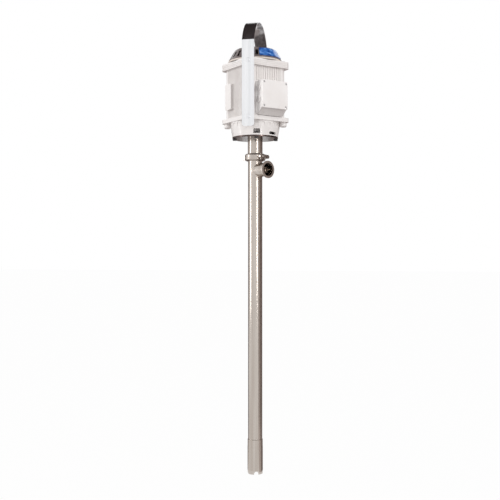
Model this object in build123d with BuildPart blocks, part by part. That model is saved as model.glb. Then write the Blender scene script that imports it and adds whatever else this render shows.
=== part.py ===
"""Progressive cavity drum pump: motor on top, delivery tube, helical rotor and stator at the foot.

Millimetres. +Z up, origin at the centre of the suction end. The handle strap lies in the YZ
plane, over two corners of the square motor.
"""
import os
from math import cos, pi, radians, sin, sqrt

from build123d import *

os.makedirs("parts", exist_ok=True)

# Clearances
SEAT = 0.05           # between seated pieces of one body, on a radius
RUN = 0.08            # running fit of a shaft in a bush, on a radius
FREE = 0.4            # between curved faces that move past each other

# Pumping element
ECC = 4.0             # eccentricity of the rotor
ROTOR_R = 12.0        # radius of the rotor's circular section
ROTOR_PITCH = 50.0    # one turn of the rotor; the stator's is twice this
CAVITY_GAP = 0.35     # between rotor and rubber
STATOR_Z = 14.0       # underside of the rubber stator
STATOR_L = 100.0
ROTOR_UNDER = 4.0     # how far the rotor stands out below the rubber
ROTOR_OVER = 8.0      # and above it

# Tubes
SHELL_R = 28.5
SHELL_WALL = 3.0
SHELL_TOP = 128.0
FOOT_H = 13.0         # castellated suction end
FOOT_R = 28.0
NOTCH_W = 16.0
NOTCH_H = 11.0
NOTCHES = 4
TUBE_R = 26.5
TUBE_WALL = 1.5
TUBE_TOP = 1174.5
COLLAR_H = 26.0
COLLAR_STEP = 0.4     # the collar is this much slimmer than the shell
SOCKET_LIP = 12.0     # the socket's spigot inside the delivery tube

# Discharge branch
BRANCH_Z = 1127.0
BRANCH_TURN = 56.0    # from -Y towards +X, degrees
BRANCH_R = 25.4
BRANCH_WALL = 1.0
PORT_BORE_R = 23.9    # bore of the ferrule, a small step inside the branch
BRANCH_REACH = 68.0   # port face from the tube's axis
FERRULE_R = 32.0      # hygienic clamp ferrule
FERRULE_RIM = 2.9     # rim thickness at the edge
FERRULE_H = 12.6      # ferrule from weld to face
GASKET_T = 2.0

# Clamp
CLAMP_R = 38.5
CLAMP_H = 26.0
CLAMP_GAP = 5.0       # between the ends of the two halves
CLAMP_TURN = 62.0     # wing nut, from -Y towards +X, degrees
CLAMP_BOLT_R = 4.0
CLAMP_BOLT_OUT = 48.0 # bolt axis from the tube's axis
LUG_W = 14.0
LUG_T = 9.0
PIN_R = 3.0

# Lantern and seal
LANTERN_R = 27.5
LANTERN_WALL = 2.0
LANTERN_TOP = 1244.0
FLANGE_R = 85.0
FLANGE_T = 6.0
SEAL_T = 8.0

# Shafts
SHAFT_R = 8.0
SHAFT_Z = 400.0       # lower end of the drive shaft
MOTOR_SHAFT_R = 9.5
BEARING_BORE_R = 12.5
BEARING_R = 26.0
BEARING_W = 15.0
BALLS = 7
BALL_R = 3.9
COUPLING_R = 19.0
COUPLING_Z = 1212.0
COUPLING_H = 64.0
FLEX_R = 5.0
FLEX_BEND_R = 1000.0
SOCKET_DEPTH = 20.0
HEAD_R = 9.5
HEAD_L = 30.0
GUIDE_ZS = (470.0, 800.0)
GUIDE_H = 16.0

# Drive-end shield (bell)
BELL_TOP_R = 92.0
BELL_FOOT_R = 85.0
BELL_Z = 1250.0
BELL_TOP = 1303.0
BELL_WALL = 6.0
BELL_RIBS = 24
BELL_FLOOR = 21.0     # closed top of the bell
SHIELD_BOLT_PCD = 154.0
SHIELD_BOLT_TURN = -75.0
BOLT_BOSS_R = 10.0
POCKET_R = 9.0
POCKET_OUT = 4.0      # pocket's axis outside the bolt's
POCKET_FLOOR = 6.0
POCKET_H = 16.0
WINDOW_TURN = -30.0   # two windows in the bell's wall
WINDOW_W = 36.0
WINDOW_H = 10.0
BOLT_R = 4.0
HEX_R = 7.5
HEX_T = 6.0

# Motor frame
FRAME_HALF = 85.0
FRAME_CORNER = 27.0
FRAME_Z = 1303.0
FRAME_TOP = 1500.0
FRAME_BORE = 70.0
FIN_PITCH = 8.0
FIN_DEEP = 3.0
FIN_SLOT = 4.0
FLANGE_HALF = 94.5
FLANGE_CORNER = 20.0
LOWER_FLANGE_T = 15.0
UPPER_FLANGE_T = 24.0
EAR_DROP = 17.0
EAR_R = 13.0
CORE_Z = 1345.0
CORE_H = 105.0
CORE_BORE = 46.0
AIR_GAP = 0.5
WINDING_H = 26.0
SIDE_PAD_T = 11.0
SIDE_PAD_W = 40.0
SIDE_PAD_OUT = 38.0   # pad's middle from the face's middle
PAD_Z = 1350.0
PAD_TOP = 1445.0
PAD_INSET = 3.0       # the box's pad stands inside the box's edge
PAD_R = 4.0
FINS = 14

# Fan and cowl
COWL_R = 99.0
COWL_TOP_R = 73.0
COWL_Z = 1524.0
COWL_TOP = 1572.0
COWL_WALL = 1.6
COWL_VENTS = 24
COWL_RIM_H = 9.0
FAN_R = 68.0
FAN_Z = 1530.0
FAN_H = 20.0
FAN_BLADES = 7
PANEL_TURN = 21.0     # first edge of the blue panel, from -Y towards +X, degrees
PANEL_ARC = 64.0

# Terminal box, on the face that looks along (+1, -1, 0)
BOX_W = 109.0
BOX_OUT = 46.0        # lid face from the frame's face
BOX_Z = 1319.0
BOX_TOP = 1440.0
BOX_SLOPE = 22.0
BOX_WALL = 4.0
LID_T = 7.0
LID_GASKET_T = 1.0
ENTRY_R = 10.0        # M20 cable entry
PLUG_ZS = (1372.0, 1412.0)   # blanked entries on the strap's side
ENTRY_Z = 1392.0             # open entry on the far side
ENTRY_OUT = 20.0      # entry axis from the frame's face

# Handle
STRAP_W = 45.0
STRAP_T = 3.0
STRAP_Y = 127.5       # inner face of a leg
STRAP_FOOT = 1275.0
STRAP_BEND = 1591.0
ARCH_RISE = 84.0      # arch above the bend
BEND_DROP = 6.0
ARCH_SPARE = 7.0      # the arch's circle is this much wider than the legs
STRAP_BOLT_R = 4.0


def turned(angle):
    """Direction in the XY plane, measured from -Y towards +X."""
    return Vector(sin(radians(angle)), -cos(radians(angle)), 0)


def upright(direction, z, out=0.0):
    """Plane that stands across a horizontal direction, its local Y along +Z."""
    side = Vector(0, 0, 1).cross(direction)
    return Plane(origin=direction * out + Vector(0, 0, z), x_dir=side, z_dir=direction)


def save(part, name):
    part.label = name
    export_step(part, f"parts/{name}.step")



# ---------------------------------------------------------------- suction end
shell_bore = SHELL_R - SHELL_WALL
with BuildPart() as suction_foot:
    with BuildSketch(Plane.XY):
        Circle(FOOT_R)
        Circle(shell_bore, mode=Mode.SUBTRACT)
    extrude(amount=FOOT_H)
    for k in range(NOTCHES // 2):
        with BuildSketch(upright(turned(k * 360 / NOTCHES + 20), 0)):
            SlotCenterToCenter(2 * NOTCH_H - NOTCH_W, NOTCH_W, rotation=90)
        extrude(amount=2 * SHELL_R, both=True, mode=Mode.SUBTRACT)
save(suction_foot.part, "suction_foot")

with BuildPart() as stator_shell:
    with BuildSketch(Plane.XY.offset(FOOT_H)):
        Circle(SHELL_R)
        Circle(shell_bore, mode=Mode.SUBTRACT)
    extrude(amount=SHELL_TOP - FOOT_H)
    with BuildSketch(Plane.XY.offset(SHELL_TOP - COLLAR_H)):
        Circle(SHELL_R)
        Circle(SHELL_R - COLLAR_STEP, mode=Mode.SUBTRACT)
    extrude(amount=COLLAR_H, mode=Mode.SUBTRACT)
    chamfer(stator_shell.edges().group_by(Axis.Z)[-1].sort_by(SortBy.RADIUS)[-1], 0.8)
save(stator_shell.part, "stator_shell")

with BuildPart() as stator:
    with BuildSketch(Plane.XY.offset(STATOR_Z)):
        Circle(shell_bore - SEAT)
    extrude(amount=STATOR_L)
    with BuildLine() as stator_spine:
        Line((0, 0, STATOR_Z), (0, 0, STATOR_Z + STATOR_L))
    with BuildLine(mode=Mode.PRIVATE) as stator_guide:
        Helix(2 * ROTOR_PITCH, STATOR_L, ROTOR_R, center=(0, 0, STATOR_Z))
    with BuildSketch(Plane.XY.offset(STATOR_Z)):
        SlotCenterToCenter(4 * ECC, 2 * (ROTOR_R + CAVITY_GAP))
    sweep(path=stator_spine.line, binormal=stator_guide.line.edges()[0], mode=Mode.SUBTRACT)
save(stator.part, "rubber_stator")

# The rotor turns about its own axis, ECC off the pump's axis.
rotor_z = STATOR_Z - ROTOR_UNDER
rotor_l = STATOR_L + ROTOR_UNDER + ROTOR_OVER
start_turn = -360 * ROTOR_UNDER / ROTOR_PITCH
head_z = rotor_z + rotor_l
with BuildPart() as pump_rotor:
    with BuildLine() as rotor_spine:
        Line((ECC, 0, rotor_z), (ECC, 0, head_z))
    with BuildLine(mode=Mode.PRIVATE) as rotor_guide:
        Helix(ROTOR_PITCH, rotor_l, ROTOR_R, center=(ECC, 0, rotor_z))
    with BuildSketch(Plane((ECC, 0, rotor_z))):
        with Locations((ECC * cos(radians(start_turn)), ECC * sin(radians(start_turn)))):
            Circle(ROTOR_R)
    sweep(path=rotor_spine.line, binormal=rotor_guide.line.edges()[0])
    with BuildSketch(Plane((ECC, 0, head_z))):
        Circle(HEAD_R)
    extrude(amount=HEAD_L)
    chamfer(pump_rotor.edges().group_by(Axis.Z)[-1], 1.5)
    with BuildSketch(Plane((ECC, 0, head_z + HEAD_L - SOCKET_DEPTH))):
        Circle(FLEX_R + RUN)
    extrude(amount=SOCKET_DEPTH, mode=Mode.SUBTRACT)
save(pump_rotor.part, "pump_rotor")

# ---------------------------------------------------------------- shafts
flex_low = head_z + HEAD_L - SOCKET_DEPTH + FREE
flex_high = SHAFT_Z + SOCKET_DEPTH - FREE
flex_rise = (SHAFT_Z - head_z - HEAD_L) / 4
with BuildPart() as flexible_shaft:
    with BuildLine():
        FilletPolyline(
            (ECC, 0, flex_low),
            (ECC, 0, head_z + HEAD_L + flex_rise),
            (0, 0, SHAFT_Z - flex_rise),
            (0, 0, flex_high),
            radius=FLEX_BEND_R,
        )
    with BuildSketch(Plane((ECC, 0, flex_low))):
        Circle(FLEX_R)
    sweep()
save(flexible_shaft.part, "flexible_shaft")

coupling_mid = COUPLING_Z + COUPLING_H / 2
with BuildPart() as drive_shaft:
    with BuildSketch(Plane.XY.offset(SHAFT_Z)):
        Circle(SHAFT_R)
    extrude(amount=coupling_mid - SEAT - SHAFT_Z)
    with BuildSketch(Plane.XY.offset(SHAFT_Z)):
        Circle(FLEX_R + RUN)
    extrude(amount=SOCKET_DEPTH, mode=Mode.SUBTRACT)
save(drive_shaft.part, "drive_shaft")

with BuildPart() as shaft_coupling:
    with BuildSketch(Plane.XY.offset(COUPLING_Z)):
        Circle(COUPLING_R)
    extrude(amount=COUPLING_H)
    chamfer(shaft_coupling.edges(), 1.5)
    with BuildSketch(Plane.XY.offset(COUPLING_Z)):
        Circle(SHAFT_R + SEAT)
    extrude(amount=COUPLING_H / 2, mode=Mode.SUBTRACT)
    with BuildSketch(Plane.XY.offset(coupling_mid)):
        Circle(MOTOR_SHAFT_R + SEAT)
    extrude(amount=COUPLING_H / 2, mode=Mode.SUBTRACT)
save(shaft_coupling.part, "shaft_coupling")

low_bearing_z = BELL_TOP - BEARING_W
high_bearing_z = FRAME_TOP + 3
with BuildPart() as motor_shaft:
    with BuildSketch(Plane.XY.offset(coupling_mid + SEAT)):
        Circle(MOTOR_SHAFT_R)
    extrude(amount=FAN_Z + FAN_H - coupling_mid)
    with BuildSketch(Plane.XY.offset(low_bearing_z)):
        Circle(BEARING_BORE_R)
    extrude(amount=high_bearing_z + BEARING_W - low_bearing_z)
    with BuildSketch(Plane.XY.offset(low_bearing_z + BEARING_W + 1)):
        Circle(BEARING_BORE_R + 3)
    extrude(amount=high_bearing_z - low_bearing_z - BEARING_W - 2)
save(motor_shaft.part, "motor_shaft")

with BuildPart() as rotor_core:
    with BuildSketch(Plane.XY.offset(CORE_Z)):
        Circle(CORE_BORE - AIR_GAP)
        Circle(BEARING_BORE_R + 3 + SEAT, mode=Mode.SUBTRACT)
    extrude(amount=CORE_H)
save(rotor_core.part, "motor_rotor_core")

# ---------------------------------------------------------------- bearings
race_r = (BEARING_BORE_R + BEARING_R) / 2
race_wall = 4.6
with BuildPart() as inner_rings:
    for z in (low_bearing_z, high_bearing_z):
        with BuildSketch(Plane.XY.offset(z)):
            Circle(BEARING_BORE_R + SEAT + race_wall)
            Circle(BEARING_BORE_R + SEAT, mode=Mode.SUBTRACT)
        extrude(amount=BEARING_W)
        with Locations((0, 0, z + BEARING_W / 2)):
            Torus(race_r, BALL_R + 0.1, mode=Mode.SUBTRACT)
save(inner_rings.part, "bearing_inner_rings")

with BuildPart() as outer_rings:
    for z in (low_bearing_z, high_bearing_z):
        with BuildSketch(Plane.XY.offset(z)):
            Circle(BEARING_R)
            Circle(BEARING_R - race_wall + 1, mode=Mode.SUBTRACT)
        extrude(amount=BEARING_W)
        with Locations((0, 0, z + BEARING_W / 2)):
            Torus(race_r, BALL_R + FREE, mode=Mode.SUBTRACT)
save(outer_rings.part, "bearing_outer_rings")

with BuildPart() as balls:
    for z in (low_bearing_z, high_bearing_z):
        with Locations((0, 0, z + BEARING_W / 2)):
            with PolarLocations(race_r, BALLS):
                Sphere(BALL_R)
save(balls.part, "bearing_balls")

# ---------------------------------------------------------------- tube and branch
branch_dir = turned(BRANCH_TURN)
ferrule_z = BRANCH_REACH - FERRULE_H
with BuildPart() as delivery_tube:
    with BuildSketch(Plane.XY.offset(SHELL_TOP)):
        Circle(TUBE_R)
        Circle(TUBE_R - TUBE_WALL, mode=Mode.SUBTRACT)
    extrude(amount=TUBE_TOP - FERRULE_H - SHELL_TOP)
    with BuildSketch(upright(branch_dir, BRANCH_Z)):
        Circle(BRANCH_R)
    extrude(amount=2 * TUBE_R, mode=Mode.SUBTRACT)
save(delivery_tube.part, "delivery_tube")

with BuildPart() as outlet_branch:
    with BuildSketch(upright(branch_dir, BRANCH_Z)):
        Circle(BRANCH_R)
        Circle(BRANCH_R - BRANCH_WALL, mode=Mode.SUBTRACT)
    extrude(amount=ferrule_z)
    with BuildSketch(Plane.XY.offset(BRANCH_Z - 2 * BRANCH_R)):
        Circle(TUBE_R - TUBE_WALL)
    extrude(amount=4 * BRANCH_R, mode=Mode.SUBTRACT)
save(outlet_branch.part, "outlet_branch")

stator_top = STATOR_Z + STATOR_L
socket_bore = TUBE_R - TUBE_WALL - 2
with BuildPart() as tube_socket:
    with BuildSketch(Plane.XY.offset(stator_top + SEAT)):
        Circle(shell_bore - SEAT)
        Circle(socket_bore, mode=Mode.SUBTRACT)
    extrude(amount=SHELL_TOP - stator_top - SEAT)
    with BuildSketch(Plane.XY.offset(SHELL_TOP)):
        Circle(TUBE_R - TUBE_WALL - SEAT)
        Circle(socket_bore, mode=Mode.SUBTRACT)
    extrude(amount=SOCKET_LIP)
save(tube_socket.part, "tube_socket")


def ferrule_profile(bore_r, pipe_r, height):
    """Half section of a clamp ferrule: weld end at 0, face at height."""
    rim = height - FERRULE_RIM
    cone = (FERRULE_R - pipe_r) * 0.36
    Polyline(
        (bore_r, 0),
        (pipe_r, 0),
        (pipe_r, rim - cone),
        (FERRULE_R, rim),
        (FERRULE_R, height),
        (bore_r, height),
        close=True,
    )


with BuildPart() as discharge_ferrule:
    side = Vector(0, 0, 1).cross(branch_dir)
    with BuildSketch(Plane(branch_dir * ferrule_z + Vector(0, 0, BRANCH_Z), x_dir=(0, 0, 1), z_dir=side)):
        with BuildLine():
            ferrule_profile(PORT_BORE_R, BRANCH_R, FERRULE_H)
        make_face()
    revolve(axis=Axis(branch_dir * ferrule_z + Vector(0, 0, BRANCH_Z), branch_dir))
save(discharge_ferrule.part, "discharge_ferrule")

clamp_mid = TUBE_TOP + GASKET_T / 2
ferrule_low = TUBE_TOP - FERRULE_H
ferrule_high = TUBE_TOP + GASKET_T + FERRULE_H
with BuildPart() as tube_ferrule:
    with BuildSketch(Plane(Vector(0, 0, ferrule_low), x_dir=(1, 0, 0), z_dir=(0, -1, 0))):
        with BuildLine():
            ferrule_profile(TUBE_R - TUBE_WALL, TUBE_R, FERRULE_H)
        make_face()
    revolve(axis=Axis.Z)
save(tube_ferrule.part, "tube_ferrule")

lantern_bore = LANTERN_R - LANTERN_WALL
with BuildPart() as lantern_ferrule:
    with BuildSketch(Plane(Vector(0, 0, ferrule_high), x_dir=(1, 0, 0), z_dir=(0, 1, 0))):
        with BuildLine():
            ferrule_profile(lantern_bore, LANTERN_R, FERRULE_H)
        make_face()
    revolve(axis=Axis.Z)
save(lantern_ferrule.part, "lantern_ferrule")

with BuildPart() as clamp_gasket:
    with BuildSketch(Plane.XY.offset(TUBE_TOP)):
        Circle(FERRULE_R - 1)
        Circle(lantern_bore, mode=Mode.SUBTRACT)
    extrude(amount=GASKET_T)
save(clamp_gasket.part, "clamp_gasket")

# ---------------------------------------------------------------- clamp
clamp_dir = turned(CLAMP_TURN)
rim_pack = GASKET_T / 2 + FERRULE_RIM
cone_drop = (FERRULE_R - TUBE_R) * 0.36


def clamp_half(side_sign):
    """One half of the band, with a bolt lug at one end and a hinge lug at the other."""
    plane = upright(clamp_dir, clamp_mid)
    across = plane.x_dir * side_sign
    with BuildPart() as half:
        with BuildSketch(Plane(Vector(0, 0, clamp_mid), x_dir=(1, 0, 0), z_dir=(0, -1, 0))):
            with BuildLine():
                Polyline(
                    (FERRULE_R + FREE, -rim_pack - SEAT),
                    (FERRULE_R + FREE, rim_pack + SEAT),
                    (TUBE_R + 2.5, rim_pack + cone_drop),
                    (TUBE_R + 2.5, CLAMP_H / 2 - 2),
                    (FERRULE_R + 1, CLAMP_H / 2),
                    (CLAMP_R - 2, CLAMP_H / 2 - 2),
                    (CLAMP_R, CLAMP_H / 2 - 6),
                    (CLAMP_R, 6 - CLAMP_H / 2),
                    (CLAMP_R - 2, 2 - CLAMP_H / 2),
                    (FERRULE_R + 1, -CLAMP_H / 2),
                    (TUBE_R + 2.5, 2 - CLAMP_H / 2),
                    (TUBE_R + 2.5, -rim_pack - cone_drop),
                    close=True,
                )
            make_face()
        revolve(axis=Axis.Z)
        for out in (1, -1):
            reach = CLAMP_BOLT_OUT + LUG_W / 2
            with BuildSketch(Plane(clamp_dir * out * (FERRULE_R + 3) + Vector(0, 0, clamp_mid),
                                   x_dir=Vector(0, 0, 1), z_dir=clamp_dir * out)):
                Rectangle(LUG_W, CLAMP_GAP + 2 * LUG_T)
            extrude(amount=reach - FERRULE_R - 3)
        with BuildSketch(upright(clamp_dir * 1, clamp_mid)):
            with Locations((-side_sign * (CLAMP_R * 2 - CLAMP_GAP / 2), 0)):
                Rectangle(CLAMP_R * 4, CLAMP_H * 2)
        extrude(amount=CLAMP_R * 3, both=True, mode=Mode.SUBTRACT)
        with BuildSketch(Plane(clamp_dir * CLAMP_BOLT_OUT + Vector(0, 0, clamp_mid),
                               x_dir=(0, 0, 1), z_dir=across)):
            Circle(CLAMP_BOLT_R + SEAT)
        extrude(amount=CLAMP_R, both=True, mode=Mode.SUBTRACT)
        with BuildSketch(Plane(clamp_dir * -CLAMP_BOLT_OUT + Vector(0, 0, clamp_mid),
                               x_dir=(0, 0, 1), z_dir=across)):
            Circle(PIN_R + SEAT)
        extrude(amount=CLAMP_R, both=True, mode=Mode.SUBTRACT)
    return half.part


save(clamp_half(1), "clamp_half_near")
save(clamp_half(-1), "clamp_half_far")

clamp_side = upright(clamp_dir, clamp_mid).x_dir
lug_face = CLAMP_GAP / 2 + LUG_T
bolt_origin = clamp_dir * CLAMP_BOLT_OUT + Vector(0, 0, clamp_mid)
WING_T = 13.0         # hub length of the wing nut
EAR_OUT = 8.5         # an ear's middle from the bolt's axis
EAR_W = 5.0
EAR_H = 5.6
EAR_T = 1.6
BOLT_TAIL = 8.0
with BuildPart() as clamp_bolt:
    with BuildSketch(Plane(bolt_origin - clamp_side * (lug_face + WING_T + BOLT_TAIL),
                           x_dir=(0, 0, 1), z_dir=clamp_side)):
        Circle(CLAMP_BOLT_R)
    extrude(amount=2 * lug_face + WING_T + BOLT_TAIL)
    with BuildSketch(Plane(bolt_origin + clamp_side * lug_face, x_dir=(0, 0, 1), z_dir=clamp_side)):
        Circle(6.5)
    extrude(amount=5)
save(clamp_bolt.part, "clamp_bolt")

with BuildPart() as clamp_hinge_pin:
    with BuildSketch(Plane(clamp_dir * -CLAMP_BOLT_OUT + Vector(0, 0, clamp_mid) - clamp_side * (lug_face + 2),
                           x_dir=(0, 0, 1), z_dir=clamp_side)):
        Circle(PIN_R)
    extrude(amount=2 * (lug_face + 2))
save(clamp_hinge_pin.part, "clamp_hinge_pin")

with BuildPart() as wing_nut:
    nut_plane = Plane(bolt_origin - clamp_side * (lug_face + 0.1 + WING_T), x_dir=(0, 0, 1), z_dir=clamp_side)
    with BuildSketch(nut_plane):
        Circle(7.5)
    extrude(amount=WING_T)
    with BuildSketch(Plane(bolt_origin - clamp_side * (lug_face + 0.1 + WING_T),
                           x_dir=(0, 0, 1), z_dir=clamp_dir)):
        with Locations((EAR_OUT, 0), (-EAR_OUT, 0)):
            Ellipse(EAR_W, EAR_H)
        Rectangle(2 * EAR_OUT, EAR_H)
    extrude(amount=EAR_T, both=True)
    with BuildSketch(nut_plane.offset(WING_T)):
        Rectangle(80, 80)
    extrude(amount=20, mode=Mode.SUBTRACT)
    with BuildSketch(nut_plane.offset(-20)):
        Circle(CLAMP_BOLT_R + RUN)
    extrude(amount=60, mode=Mode.SUBTRACT)
save(wing_nut.part, "wing_nut")

# ---------------------------------------------------------------- seal and guides
with BuildPart() as seal_seat:
    with BuildSketch(Plane.XY.offset(ferrule_high)):
        Circle(lantern_bore - SEAT)
        Circle(SHAFT_R + FREE, mode=Mode.SUBTRACT)
    extrude(amount=SEAL_T)
save(seal_seat.part, "seal_seat")

with BuildPart() as seal_ring:
    with BuildSketch(Plane.XY.offset(ferrule_high + SEAL_T + SEAT)):
        Circle(15)
        Circle(SHAFT_R + SEAT, mode=Mode.SUBTRACT)
    extrude(amount=10)
save(seal_ring.part, "seal_rotating_ring")

with BuildPart() as shaft_guides:
    for z in GUIDE_ZS:
        with BuildSketch(Plane.XY.offset(z)):
            Circle(SHAFT_R + 4)
            with PolarLocations((SHAFT_R + TUBE_R - TUBE_WALL) / 2, 3):
                Rectangle(TUBE_R - TUBE_WALL - SHAFT_R, 6)
            Circle(SHAFT_R + RUN, mode=Mode.SUBTRACT)
        extrude(amount=GUIDE_H)
        with BuildSketch(Plane.XY.offset(z)):
            Circle(2 * TUBE_R)
            Circle(TUBE_R - TUBE_WALL - SEAT, mode=Mode.SUBTRACT)
        extrude(amount=GUIDE_H, mode=Mode.SUBTRACT)
save(shaft_guides.part, "shaft_guides")

# ---------------------------------------------------------------- lantern and bell
with BuildPart() as lantern_tube:
    with BuildSketch(Plane.XY.offset(ferrule_high)):
        Circle(LANTERN_R)
        Circle(lantern_bore, mode=Mode.SUBTRACT)
    extrude(amount=LANTERN_TOP - ferrule_high)
save(lantern_tube.part, "lantern_tube")

bolt_ring = SHIELD_BOLT_PCD / 2
flange_z = LANTERN_TOP
with BuildPart() as lantern_flange:
    with BuildSketch(Plane.XY.offset(flange_z)):
        Circle(FLANGE_R)
        Circle(COUPLING_R + 3, mode=Mode.SUBTRACT)
        with PolarLocations(bolt_ring, 4, start_angle=SHIELD_BOLT_TURN):
            Circle(BOLT_R + SEAT, mode=Mode.SUBTRACT)
    extrude(amount=FLANGE_T)
    chamfer(lantern_flange.edges().group_by(Axis.Z)[0].sort_by(SortBy.RADIUS)[-1], 0.8)
save(lantern_flange.part, "lantern_flange")

nut_z = BELL_Z + POCKET_FLOOR
with BuildPart() as flange_bolts:
    with BuildSketch(Plane.XY.offset(flange_z - HEX_T)):
        with PolarLocations(bolt_ring, 4, start_angle=SHIELD_BOLT_TURN):
            RegularPolygon(HEX_R, 6)
    extrude(amount=HEX_T)
    with BuildSketch(Plane.XY.offset(flange_z)):
        with PolarLocations(bolt_ring, 4, start_angle=SHIELD_BOLT_TURN):
            Circle(BOLT_R)
    extrude(amount=nut_z + HEX_T + 3 - flange_z)
save(flange_bolts.part, "flange_bolts")

with BuildPart() as flange_nuts:
    with BuildSketch(Plane.XY.offset(nut_z)):
        with PolarLocations(bolt_ring, 4, start_angle=SHIELD_BOLT_TURN):
            RegularPolygon(HEX_R, 6)
            Circle(BOLT_R + SEAT, mode=Mode.SUBTRACT)
    extrude(amount=HEX_T)
save(flange_nuts.part, "flange_nuts")

with BuildPart() as drive_end_shield:
    with BuildSketch(Plane(Vector(0, 0, BELL_Z), x_dir=(1, 0, 0), z_dir=(0, -1, 0))):
        with BuildLine():
            Polyline(
                (BELL_FOOT_R - BELL_WALL, 0),
                (BELL_FOOT_R, 0),
                (BELL_TOP_R, BELL_TOP - BELL_Z - 8),
                (BELL_TOP_R, BELL_TOP - BELL_Z),
                (0, BELL_TOP - BELL_Z),
                (0, BELL_TOP - BELL_Z - BELL_FLOOR),
                (BELL_TOP_R - BELL_WALL - 4, BELL_TOP - BELL_Z - BELL_FLOOR),
                close=True,
            )
        make_face()
    revolve(axis=Axis.Z)
    with BuildSketch(Plane.XY.offset(BELL_Z)):
        with PolarLocations(bolt_ring - 2, 4, start_angle=SHIELD_BOLT_TURN):
            Circle(BOLT_BOSS_R)
    extrude(amount=BELL_TOP - BELL_FLOOR - BELL_Z)
    with BuildSketch(Plane.XY.offset(nut_z)):
        with PolarLocations(bolt_ring + POCKET_OUT, 4, start_angle=SHIELD_BOLT_TURN):
            Circle(POCKET_R + POCKET_OUT)
    extrude(amount=POCKET_H, mode=Mode.SUBTRACT)
    with BuildSketch(Plane.XY.offset(BELL_Z)):
        with PolarLocations(bolt_ring, 4, start_angle=SHIELD_BOLT_TURN):
            Circle(BOLT_R + SEAT, mode=Mode.ADD)
    extrude(amount=nut_z - BELL_Z, mode=Mode.SUBTRACT)
    with BuildSketch(upright(turned(WINDOW_TURN + 90), BELL_Z + 4 + WINDOW_H / 2)):
        SlotOverall(WINDOW_W, WINDOW_H)
    extrude(amount=2 * BELL_TOP_R, both=True, mode=Mode.SUBTRACT)
    with BuildSketch(Plane.XY.offset(BELL_TOP - BEARING_W)):
        Circle(BEARING_R + SEAT)
    extrude(amount=BEARING_W, mode=Mode.SUBTRACT)
    with BuildSketch(Plane.XY.offset(BELL_Z)):
        Circle(BEARING_BORE_R + 3)
    extrude(amount=BELL_TOP - BELL_Z, mode=Mode.SUBTRACT)
    with BuildSketch(Plane.XY.offset(nut_z + POCKET_H)):
        with PolarLocations(BELL_TOP_R + 1, BELL_RIBS):
            Rectangle(7, 12)
    extrude(amount=BELL_TOP - 6 - nut_z - POCKET_H, mode=Mode.SUBTRACT)
save(drive_end_shield.part, "drive_end_shield")

# ---------------------------------------------------------------- motor frame
body_top = FRAME_TOP
pad_mid = (PAD_Z + PAD_TOP) / 2
ear_reach = (FLANGE_HALF - FLANGE_CORNER) * sqrt(2)
with BuildPart() as motor_frame:
    with BuildSketch(Plane.XY.offset(FRAME_Z)):
        RectangleRounded(2 * FRAME_HALF, 2 * FRAME_HALF, FRAME_CORNER, rotation=45)
    extrude(amount=body_top - FRAME_Z)
    for face in range(4):
        direction = turned(45 + 90 * face)
        with BuildSketch(Plane(Vector(0, 0, FRAME_Z + LOWER_FLANGE_T), x_dir=direction, z_dir=(0, 0, 1))):
            with Locations((FRAME_HALF, 0)):
                with GridLocations(1, FIN_PITCH, 1, FINS):
                    Rectangle(2 * FIN_DEEP, FIN_SLOT)
        extrude(amount=body_top - FRAME_Z - LOWER_FLANGE_T, mode=Mode.SUBTRACT)
    with BuildSketch(Plane.XY.offset(FRAME_Z)):
        RectangleRounded(2 * FLANGE_HALF, 2 * FLANGE_HALF, FLANGE_CORNER, rotation=45)
    extrude(amount=LOWER_FLANGE_T)
    for face in range(2):
        direction = turned(45 + 90 * face)
        pad_plane = upright(direction, pad_mid, FRAME_HALF - FIN_DEEP)
        with BuildSketch(pad_plane):
            RectangleRounded(BOX_W - 2 * PAD_INSET, PAD_TOP - PAD_Z, PAD_R)
        extrude(amount=FIN_DEEP)
    with BuildSketch(upright(turned(-45), pad_mid, FRAME_HALF - FIN_DEEP)):
        with Locations((-SIDE_PAD_OUT, 0)):
            RectangleRounded(SIDE_PAD_W, PAD_TOP - PAD_Z, PAD_R)
    extrude(amount=FIN_DEEP + SIDE_PAD_T)
    with BuildSketch(Plane.XY.offset(FRAME_Z)):
        Circle(FRAME_BORE)
    extrude(amount=body_top - FRAME_Z, mode=Mode.SUBTRACT)
save(motor_frame.part, "motor_frame")

with BuildPart() as corner_ears:
    with BuildSketch(Plane.XY.offset(FRAME_Z - EAR_DROP)):
        with PolarLocations(ear_reach, 4):
            Circle(EAR_R)
    extrude(amount=EAR_DROP)
    chamfer(corner_ears.edges().group_by(Axis.Z)[0], 3)
    with BuildSketch(Plane.XY.offset(FRAME_Z - EAR_DROP)):
        Circle(BELL_TOP_R + SEAT)
    extrude(amount=EAR_DROP, mode=Mode.SUBTRACT)
save(corner_ears.part, "frame_corner_ears")

with BuildPart() as stator_core:
    with BuildSketch(Plane.XY.offset(CORE_Z)):
        Circle(FRAME_BORE - SEAT)
        Circle(CORE_BORE, mode=Mode.SUBTRACT)
    extrude(amount=CORE_H)
save(stator_core.part, "motor_stator_core")

with BuildPart() as windings:
    for z in (CORE_Z - WINDING_H, CORE_Z + CORE_H):
        with BuildSketch(Plane.XY.offset(z)):
            Circle(FRAME_BORE - 6)
            Circle(CORE_BORE + 3, mode=Mode.SUBTRACT)
        extrude(amount=WINDING_H)
    chamfer(windings.edges().group_by(Axis.Z)[0] + windings.edges().group_by(Axis.Z)[-1], 5)
save(windings.part, "motor_windings")

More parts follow.
